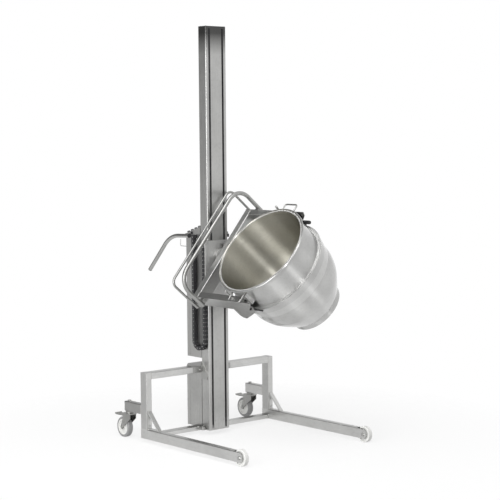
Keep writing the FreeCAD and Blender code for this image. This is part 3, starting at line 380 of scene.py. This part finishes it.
LOOKS = {
    "side_frame": TUBE, "cross_beam": BEAM, "braces": BRACE, "push_handle": HANDLE, "bow_": BOW,
    "housing": SHEET, "console": SHEET, "column_brackets": BRACKET, "carriage_plate": PLATE,
    "chain_anchor": SHEET, "chain_carrier": SHEET, "foot_cover": COLUMN, "column": COLUMN,
    "fork_beam": FORK, "fork_arm": ARM, "rotor": FORK, "bowl": BOWL, "frame_bolts": BOLT,
    "front_axles": BOLT, "caster_heads": CASTER, "caster_fork": CASTER, "caster_pedal": CASTER,
    "bowl_handles": HANDLE,
    "latch_pin": BOLT, "cable_hook": BOLT, "spindle": BOLT, "front_wheel": NYLON, "caster_wheel": NYLON,
    "glide_pads": NYLON, "caster_tyre": RUBBER, "column_cap": BLACK, "slot_seals": BLACK,
    "handle_plugs": BLACK, "side_socket": BLACK, "limit_switch": BLACK, "front_grips": BLACK,
    "chain_": BLACK, "battery": BLACK, "button": BUTTON, "lift_drive": CAST, "carriage_core": CAST,
    "spindle_bearing": CAST, "spindle_nut": BRONZE,
}


def look_of(name):
    """The material of the longest entry that a node's name starts with."""
    best = max((k for k in LOOKS if name.startswith(k)), key=len)
    return LOOKS[best]


for name, obj in nodes.items():
    obj.data.materials.clear()
    obj.data.materials.append(look_of(name))


# Added pieces

class Shape:
    """Collects simple solids into one mesh, in the row frame."""

    def __init__(self):
        self.bm = bmesh.new()

    def add(self, verts, faces):
        made = [self.bm.verts.new(v) for v in verts]
        for f in faces:
            self.bm.faces.new([made[i] for i in f])
        return self

    def skin(self, verts, rings, sides):
        """Closed skin over rings of points that follow one another, with a cap at each end."""
        faces = []
        for n in range(rings - 1):
            for i in range(sides):
                j = (i + 1) % sides
                faces.append((n * sides + i, n * sides + j, (n + 1) * sides + j, (n + 1) * sides + i))
        faces.append(tuple(reversed(range(sides))))
        faces.append(tuple(range((rings - 1) * sides, rings * sides)))
        return self.add(verts, faces)

    def block(self, centre, axes, size):
        """Box round centre with edge directions axes and edge lengths size."""
        half = [a * (s * MM / 2) for a, s in zip(axes, size)]
        corner = [centre + half[0] * i + half[1] * j + half[2] * k
                  for i in (-1, 1) for j in (-1, 1) for k in (-1, 1)]
        faces = [(0, 1, 3, 2), (4, 6, 7, 5), (0, 4, 5, 1), (2, 3, 7, 6), (0, 2, 6, 4), (1, 5, 7, 3)]
        return self.add(corner, faces)

    def lathe(self, start, axis, outline, sides=24, hexagon=()):
        """Turns (radius, height) pairs round axis, six-sided at the rings numbered in hexagon."""
        axis = axis.normalized()
        side = axis.orthogonal().normalized()
        up = axis.cross(side)
        verts = []
        for n, (r, h) in enumerate(outline):
            for i in range(sides):
                a = 2 * math.pi * i / sides
                near = (a % (math.pi / 3)) - math.pi / 6
                k = math.cos(math.pi / 6) / math.cos(near) if n in hexagon else 1.0
                verts.append(start + (axis * h + (side * math.cos(a) + up * math.sin(a)) * r * k) * MM)
        return self.skin(verts, len(outline), sides)

    def rod(self, start, axis, d, length, sides=20):
        return self.lathe(start, axis, ((d / 2, 0), (d / 2, length)), sides)

    def screw(self, place, axis, d=8.0):
        """Button head with a hexagon socket."""
        r = d / 2
        outline = ((r, 0), (r, 0.25 * r), (0.93 * r, 0.5 * r), (0.72 * r, 0.7 * r), (0.5 * r, 0.78 * r),
                   (0.46 * r, 0.76 * r), (0.44 * r, 0.25 * r))
        return self.lathe(place, axis, outline, 24, (4, 5, 6))

    def weld(self, start, end, r=1.8, pitch=3.0, sides=8):
        """Rippled bead of weld metal from start to end."""
        run = end - start
        axis = run.normalized()
        side = axis.orthogonal().normalized()
        up = axis.cross(side)
        steps = max(6, int(run.length / MM / pitch) * 4)
        verts = []
        for n in range(steps + 1):
            s = n / steps
            wave = 1.0 - 0.22 * (n % 4) / 4 - (0.45 if n in (0, steps) else 0.0)
            wander = 0.25 * math.sin(n * 0.83) * MM
            for i in range(sides):
                a = 2 * math.pi * i / sides
                spoke = side * math.cos(a) + up * math.sin(a)
                verts.append(start + run * s + spoke * (r * wave * MM) + side * wander)
        return self.skin(verts, steps + 1, sides)

    def done(self, name, material, body=None, angle=35, slot=None):
        """The finished piece, on its body and in its material slot."""
        bmesh.ops.recalc_face_normals(self.bm, faces=self.bm.faces)
        mesh = bpy.data.meshes.new(name)
        self.bm.to_mesh(mesh)
        self.bm.free()
        mesh.materials.append(material)
        mesh.polygons.foreach_set("use_smooth", [True] * len(mesh.polygons))
        mesh.set_sharp_from_angle(angle=math.radians(angle))
        obj = bpy.data.objects.new(name, mesh)
        bpy.context.scene.collection.objects.link(obj)
        if body:
            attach(obj, body)
        return obj


# Energy chain

CHAIN_X = -94.5
CHAIN_FRONT, CHAIN_REAR, CHAIN_BEND_Z = -57.5, 42.5, 586.0
CHAIN_FRONT_TOP, CHAIN_REAR_TOP = 1195.0, 1229.0


def chain_link(links, clips, centre, along, out, pitch):
    """One link: two side plates, cross bars outside and inside, a dark core and pale clips."""
    for side in (-1, 1):
        links.block(centre + X * (side * 10.2 * MM), (X, out, along), (2.6, 23.0, pitch - 1.2))
    links.block(centre + out * 10.2 * MM, (X, out, along), (22.0, 2.6, pitch * 0.52))
    links.block(centre - out * 10.2 * MM, (X, out, along), (22.0, 2.6, pitch * 0.52))
    links.block(centre, (X, out, along), (18.0, 15.0, pitch + 1.0))
    for side in (-1, 1):
        clips.block(centre + X * (side * 8.6 * MM) + out * 11.6 * MM, (X, out, along), (3.0, 0.8, 4.0))
        clips.rod(centre + X * (side * 11.5 * MM) - X * (0 if side > 0 else 0.5 * MM), X, 5.0, 0.5, 12)


def chain_strand(name, y, top):
    """Straight strand of links between its fixed end and the loop."""
    n = round((top - CHAIN_BEND_Z) / 25)
    pitch = (top - CHAIN_BEND_Z) / n
    links, clips = Shape(), Shape()
    out = -Y if y < 0 else Y
    for i in range(n):
        chain_link(links, clips, at(CHAIN_X, y, CHAIN_BEND_Z + (i + 0.5) * pitch), Z, out, pitch)
    row = links.done(name + "_links", BLACK, slot="black_plastic")
    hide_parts(name)
    for obj in (row, clips.done(name + "_clips", CLIP)):
        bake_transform(obj)


def chain_turn():
    """Half circle of links at the loop's lower end."""
    links, clips = Shape(), Shape()
    r = (CHAIN_REAR - CHAIN_FRONT) / 2
    mid = (CHAIN_REAR + CHAIN_FRONT) / 2
    steps = 6
    for i in range(steps):
        a = math.pi * (i + 0.5) / steps
        out = Y * math.cos(a) - Z * math.sin(a)
        along = Y * math.sin(a) + Z * math.cos(a)
        place = at(CHAIN_X, mid + r * math.cos(a), CHAIN_BEND_Z - r * math.sin(a))
        chain_link(links, clips, place, along, out, math.pi * r / steps)
    loop = links.done("chain_loop_links", BLACK, "chain_loop", slot="black_plastic")
    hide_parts("chain_bend")
    clips.done("chain_loop_clips", CLIP, "chain_loop")


chain_strand("chain_front", CHAIN_FRONT, CHAIN_FRONT_TOP)
chain_strand("chain_rear", CHAIN_REAR, CHAIN_REAR_TOP)
chain_turn()


# Screws, welds, grips and collars

TUBE_IN, TUBE_OUT = 460.0, 500.0
LEG_TOP, ARM_LOW, ARM_HIGH, UPRIGHT_TOP = 86.0, 170.0, 230.0, 425.0
TUBE_REAR = 60.0


def base_welds():
    """Beads where the base frame's tubes meet."""
    welds = Shape()
    for s in (-1, 1):
        a, b = s * TUBE_IN, s * TUBE_OUT
        welds.weld(at(a + s * 3, -0.4, LEG_TOP), at(b - s * 3, -0.4, LEG_TOP))
        welds.weld(at(a + s * 3, TUBE_REAR, ARM_HIGH + 0.4), at(b - s * 3, TUBE_REAR, ARM_HIGH + 0.4))
        welds.weld(at(a + s * 3, TUBE_REAR, ARM_LOW - 0.4), at(b - s * 3, TUBE_REAR, ARM_LOW - 0.4))
        for x in (a, b):
            welds.weld(at(x, TUBE_REAR + 0.3, ARM_LOW + 3), at(x, TUBE_REAR + 0.3, ARM_HIGH - 3), 1.2)
        for z0, z1 in ((385.0, UPRIGHT_TOP), (27.0, 52.0)):
            for y in (2.0, 58.0):
                welds.weld(at(a, y, z0 + 3), at(a, y, z1 - 3), 1.5)
            welds.weld(at(a, 3, z0), at(a, 57, z0), 1.5)
    welds.done("base_welds", WELD, "chassis")


def fork_welds():
    """Beads at the fork's corners and round the bowl handles' feet."""
    welds = Shape()
    for s in (-1, 1):
        welds.weld(on_fork(s * 290, -168.4, -25), on_fork(s * 290, -168.4, 29), 1.8)
        welds.weld(on_fork(s * 292, -168, 31), on_fork(s * 326, -168, 31), 1.0)
    welds.done("fork_welds", WELD, "fork")
    feet = Shape()
    for s in (-1, 1):
        for y in (BOWL_CENTRE_Y - 52, BOWL_CENTRE_Y + 52):
            outline = ((4.6, -1.0), (6.6, -0.4), (6.4, 0.8), (4.6, 2.6))
            feet.lathe(on_fork(s * 283.5, y, 70), FORK_U * s, outline, 20)
    feet.done("handle_feet", WELD, "fork")


def screws():
    """Button-head screws in the covers, the cap and the carriage plate."""
    body = Shape()
    for s in (-1, 1):
        for z in (40.0, 90.0):
            body.screw(at(s * 33, -74.5, z), -Y, 6)
        for y in (-12.0, -61.0):
            body.screw(at(s * 66, y, 2490), Z, 8)
        for z in (492.0, 730.0, 968.0, 1190.0):
            body.screw(at(s * 68, 141, z), Y, 7)
        for z in (60.0, 368.0):
            body.screw(at(s * 68, 148, z), Y, 7)
    body.done("cover_screws", BOLT, "chassis")
    plate = Shape()
    for s in (-1, 1):
        for z in (828.0, 1182.0):
            plate.screw(at(s * 94, -85, z), -Y, 10)
    plate.done("plate_screws", BOLT, "carriage")


def grip_ribs():
    """Finger ribs round the black grip of the right cradle plate."""
    ribs = Shape()
    for i in range(9):
        outline = ((10.3, -1.3), (11.3, -0.5), (11.3, 0.5), (10.3, 1.3))
        ribs.lathe(on_fork(315, -596 - 4.6 * i, -49.5), Y, outline, 28)
    ribs.done("grip_ribs", BLACK, "fork")


HANDLE_X, HANDLE_R, HANDLE_BEND = -92.0, 12.5, 200.0
HANDLE_PATH = ((94.0, 1221.0), (282.0, 1214.0), (496.0, 990.0))


def handle_line(steps=28):
    """Points along the push handle, in Y and Z: a straight, a wide bend and a straight."""
    a, b, c = (Vector((y, z)) for y, z in HANDLE_PATH)
    d0, d1 = (b - a).normalized(), (c - b).normalized()
    turn = d0.angle(d1)
    reach = HANDLE_BEND * math.tan(turn / 2)
    side = (d1 - d0 * math.cos(turn)).normalized()
    points = [a]
    for i in range(steps + 1):
        w = turn * i / steps
        forward, aside = HANDLE_BEND * math.sin(w), HANDLE_BEND * (1 - math.cos(w))
        points.append(b - d0 * reach + d0 * forward + side * aside)
    return points + [c]


def push_handle(sides=28):
    """Bent tube with its saddle on the housing."""
    line = [at(HANDLE_X, p.x, p.y) for p in handle_line()]
    handle = Shape()
    verts = []
    for n, p in enumerate(line):
        run = (line[min(n + 1, len(line) - 1)] - line[max(n - 1, 0)]).normalized()
        up = run.cross(X)
        for i in range(sides):
            a = 2 * math.pi * i / sides
            verts.append(p + (X * math.cos(a) + up * math.sin(a)) * HANDLE_R * MM)
    handle.skin(verts, len(line), sides)
    handle.block(at(-85, 115, 1219), (X, Y, Z), (14, 34, 24))
    for y in (104.0, 126.0):
        handle.screw(at(-92, y, 1233.4), Z, 7)
    obj = handle.done("push_handle_tube", HANDLE, "chassis", slot="stainless_tube")
    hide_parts("push_handle")


CONSOLE_FRONT, CONSOLE_BACK = (6.0, 1278.0), (180.0, 1221.0)
BUTTON_Y = (46.0, 83.0, 120.0, 157.0)


def button_collars():
    """Bright rings round the push buttons on the console's slope."""
    rings = Shape()
    (y0, z0), (y1, z1) = CONSOLE_FRONT, CONSOLE_BACK
    slope = Vector((0, y1 - y0, z1 - z0)).normalized()
    normal = X.cross(slope)
    for y in BUTTON_Y:
        z = z0 + (y - y0) * (z1 - z0) / (y1 - y0)
        rings.lathe(at(-45, y, z), normal, ((10.4, 0), (13.6, 0), (13.6, 1.6), (12.8, 2.4), (10.4, 2.4)), 32)
    rings.done("button_collars", BOLT, "chassis")


base_welds()
fork_welds()
screws()
grip_ribs()
button_collars()
push_handle()


# Stage, light and camera

DIM_SIDE = Vector((-0.36, 0.75, 0.55))
ROOM_LEVEL, DIM_LEVEL, DIM_RISE = 0.50, 0.22, (-0.20, 0.0)
FLOOR_FADE, FLOOR_COVER = (0.9, 2.0), 0.24
CAMERA_YAW, CAMERA_PITCH, CAMERA_ROLL = math.radians(-40.24), math.radians(4.51), -0.0088
CAMERA_SPOT, CAMERA_LENS = (-5683, -7092, 1848), 106.98


def studio():
    """White studio, dimmer at the far upper left in metal, with a plain level for all else."""
    world = bpy.data.worlds.new("studio")
    bpy.context.scene.world = world
    world.use_nodes = True
    t = world.node_tree
    room = t.nodes["Background"]
    room.inputs["Color"].default_value = (1, 1, 1, 1)
    room.inputs["Strength"].default_value = ROOM_LEVEL
    white = t.nodes.new("ShaderNodeBackground")
    white.inputs["Strength"].default_value = 1.0
    coord = t.nodes.new("ShaderNodeTexCoord")
    dot = t.nodes.new("ShaderNodeVectorMath")
    dot.operation = "DOT_PRODUCT"
    dot.inputs[1].default_value = DIM_SIDE.normalized()
    t.links.new(coord.outputs["Generated"], dot.inputs[0])
    split = t.nodes.new("ShaderNodeSeparateXYZ")
    t.links.new(coord.outputs["Generated"], split.inputs["Vector"])
    dim = math_node(t, "MULTIPLY", smooth(t, dot.outputs["Value"], 0.2, 0.95),
                    smooth(t, split.outputs["Z"], *DIM_RISE))
    level = math_node(t, "SUBTRACT", 1.0, math_node(t, "MULTIPLY", dim, 1.0 - DIM_LEVEL))
    path = t.nodes.new("ShaderNodeLightPath")
    shade = t.nodes.new("ShaderNodeMix")
    t.links.new(path.outputs["Is Glossy Ray"], shade.inputs["Factor"])
    shade.inputs["A"].default_value = 1.0
    t.links.new(level, shade.inputs["B"])
    t.links.new(shade.outputs["Result"], white.inputs["Color"])
    through = math_node(t, "MAXIMUM", path.outputs["Is Glossy Ray"], path.outputs["Is Transmission Ray"])
    seen = math_node(t, "MAXIMUM", path.outputs["Is Camera Ray"], through)
    mix = t.nodes.new("ShaderNodeMixShader")
    t.links.new(seen, mix.inputs["Fac"])
    t.links.new(room.outputs["Background"], mix.inputs[1])
    t.links.new(white.outputs["Background"], mix.inputs[2])
    t.links.new(mix.outputs["Shader"], t.nodes["World Output"].inputs["Surface"])


def lamp(name, direction, distance, size, power, target=(0, 0, 1.1), up=None):
    """Area lamp in a direction from the target, facing it, with its height along up."""
    data = bpy.data.lights.new(name, "AREA")
    data.shape = "RECTANGLE"
    data.size, data.size_y = size
    data.energy = power
    obj = bpy.data.objects.new(name, data)
    bpy.context.scene.collection.objects.link(obj)
    toward = Vector(direction).normalized()
    obj.location = Vector(target) + toward * distance
    right = (up or Z).cross(toward).normalized()
    obj.rotation_euler = Matrix((right, toward.cross(right), toward)).transposed().to_euler()
    return obj


def floor():
    """Pale floor that fades into the white background away from the object."""
    bpy.ops.mesh.primitive_plane_add(size=9, location=(0, 0, -0.0005))
    plane = bpy.context.object
    plane.name = "floor"
    m, t, b = new_material("floor_white")
    b.inputs["Base Color"].default_value = (0.96, 0.96, 0.96, 1)
    b.inputs["Roughness"].default_value = 0.9
    b.inputs["Specular IOR Level"].default_value = 0.1
    coord = t.nodes.new("ShaderNodeTexCoord")
    far = t.nodes.new("ShaderNodeVectorMath")
    far.operation = "LENGTH"
    t.links.new(coord.outputs["Object"], far.inputs[0])
    fade = spread(t, far.outputs["Value"], *FLOOR_FADE, FLOOR_COVER, 0.0)
    clear = t.nodes.new("ShaderNodeBsdfTransparent")
    mix = t.nodes.new("ShaderNodeMixShader")
    t.links.new(fade, mix.inputs["Fac"])
    t.links.new(clear.outputs["BSDF"], mix.inputs[1])
    t.links.new(b.outputs["BSDF"], mix.inputs[2])
    t.links.new(mix.outputs["Shader"], t.nodes["Material Output"].inputs["Surface"])
    plane.data.materials.append(m)
    return plane


def camera():
    """Camera at the photograph's angle."""
    yaw, pitch, roll = CAMERA_YAW, CAMERA_PITCH, CAMERA_ROLL
    back = Vector((math.sin(yaw) * math.cos(pitch), -math.cos(yaw) * math.cos(pitch), math.sin(pitch)))
    right = Vector((math.cos(yaw), math.sin(yaw), 0))
    up = back.cross(right)
    c, s = math.cos(roll), math.sin(roll)
    x_axis, y_axis = right * c + up * s, up * c - right * s
    data = bpy.data.cameras.new("camera")
    data.lens = CAMERA_LENS
    data.sensor_width = 36
    data.clip_end = 100
    obj = bpy.data.objects.new("camera", data)
    bpy.context.scene.collection.objects.link(obj)
    spot = at(*CAMERA_SPOT)
    obj.matrix_world = Matrix((
        (x_axis.x, y_axis.x, back.x, spot.x),
        (x_axis.y, y_axis.y, back.y, spot.y),
        (x_axis.z, y_axis.z, back.z, spot.z),
        (0, 0, 0, 1)))
    bpy.context.scene.camera = obj


studio()
floor()
camera()
lamp("key", (-0.60, -0.68, 0.42), 6.0, (0.14, 2.6), 98, up=FORK_W)
lamp("left", (-0.92, -0.37, 0.06), 5.0, (0.8, 2.6), 85)
lamp("left_wide", (-0.99, 0.08, 0.05), 5.2, (3.6, 3.0), 22)
lamp("overhead", (-0.40, -0.22, 0.88), 4.2, (2.0, 2.2), 75, up=FORK_W)
bpy.context.scene.view_settings.view_transform = "Standard"
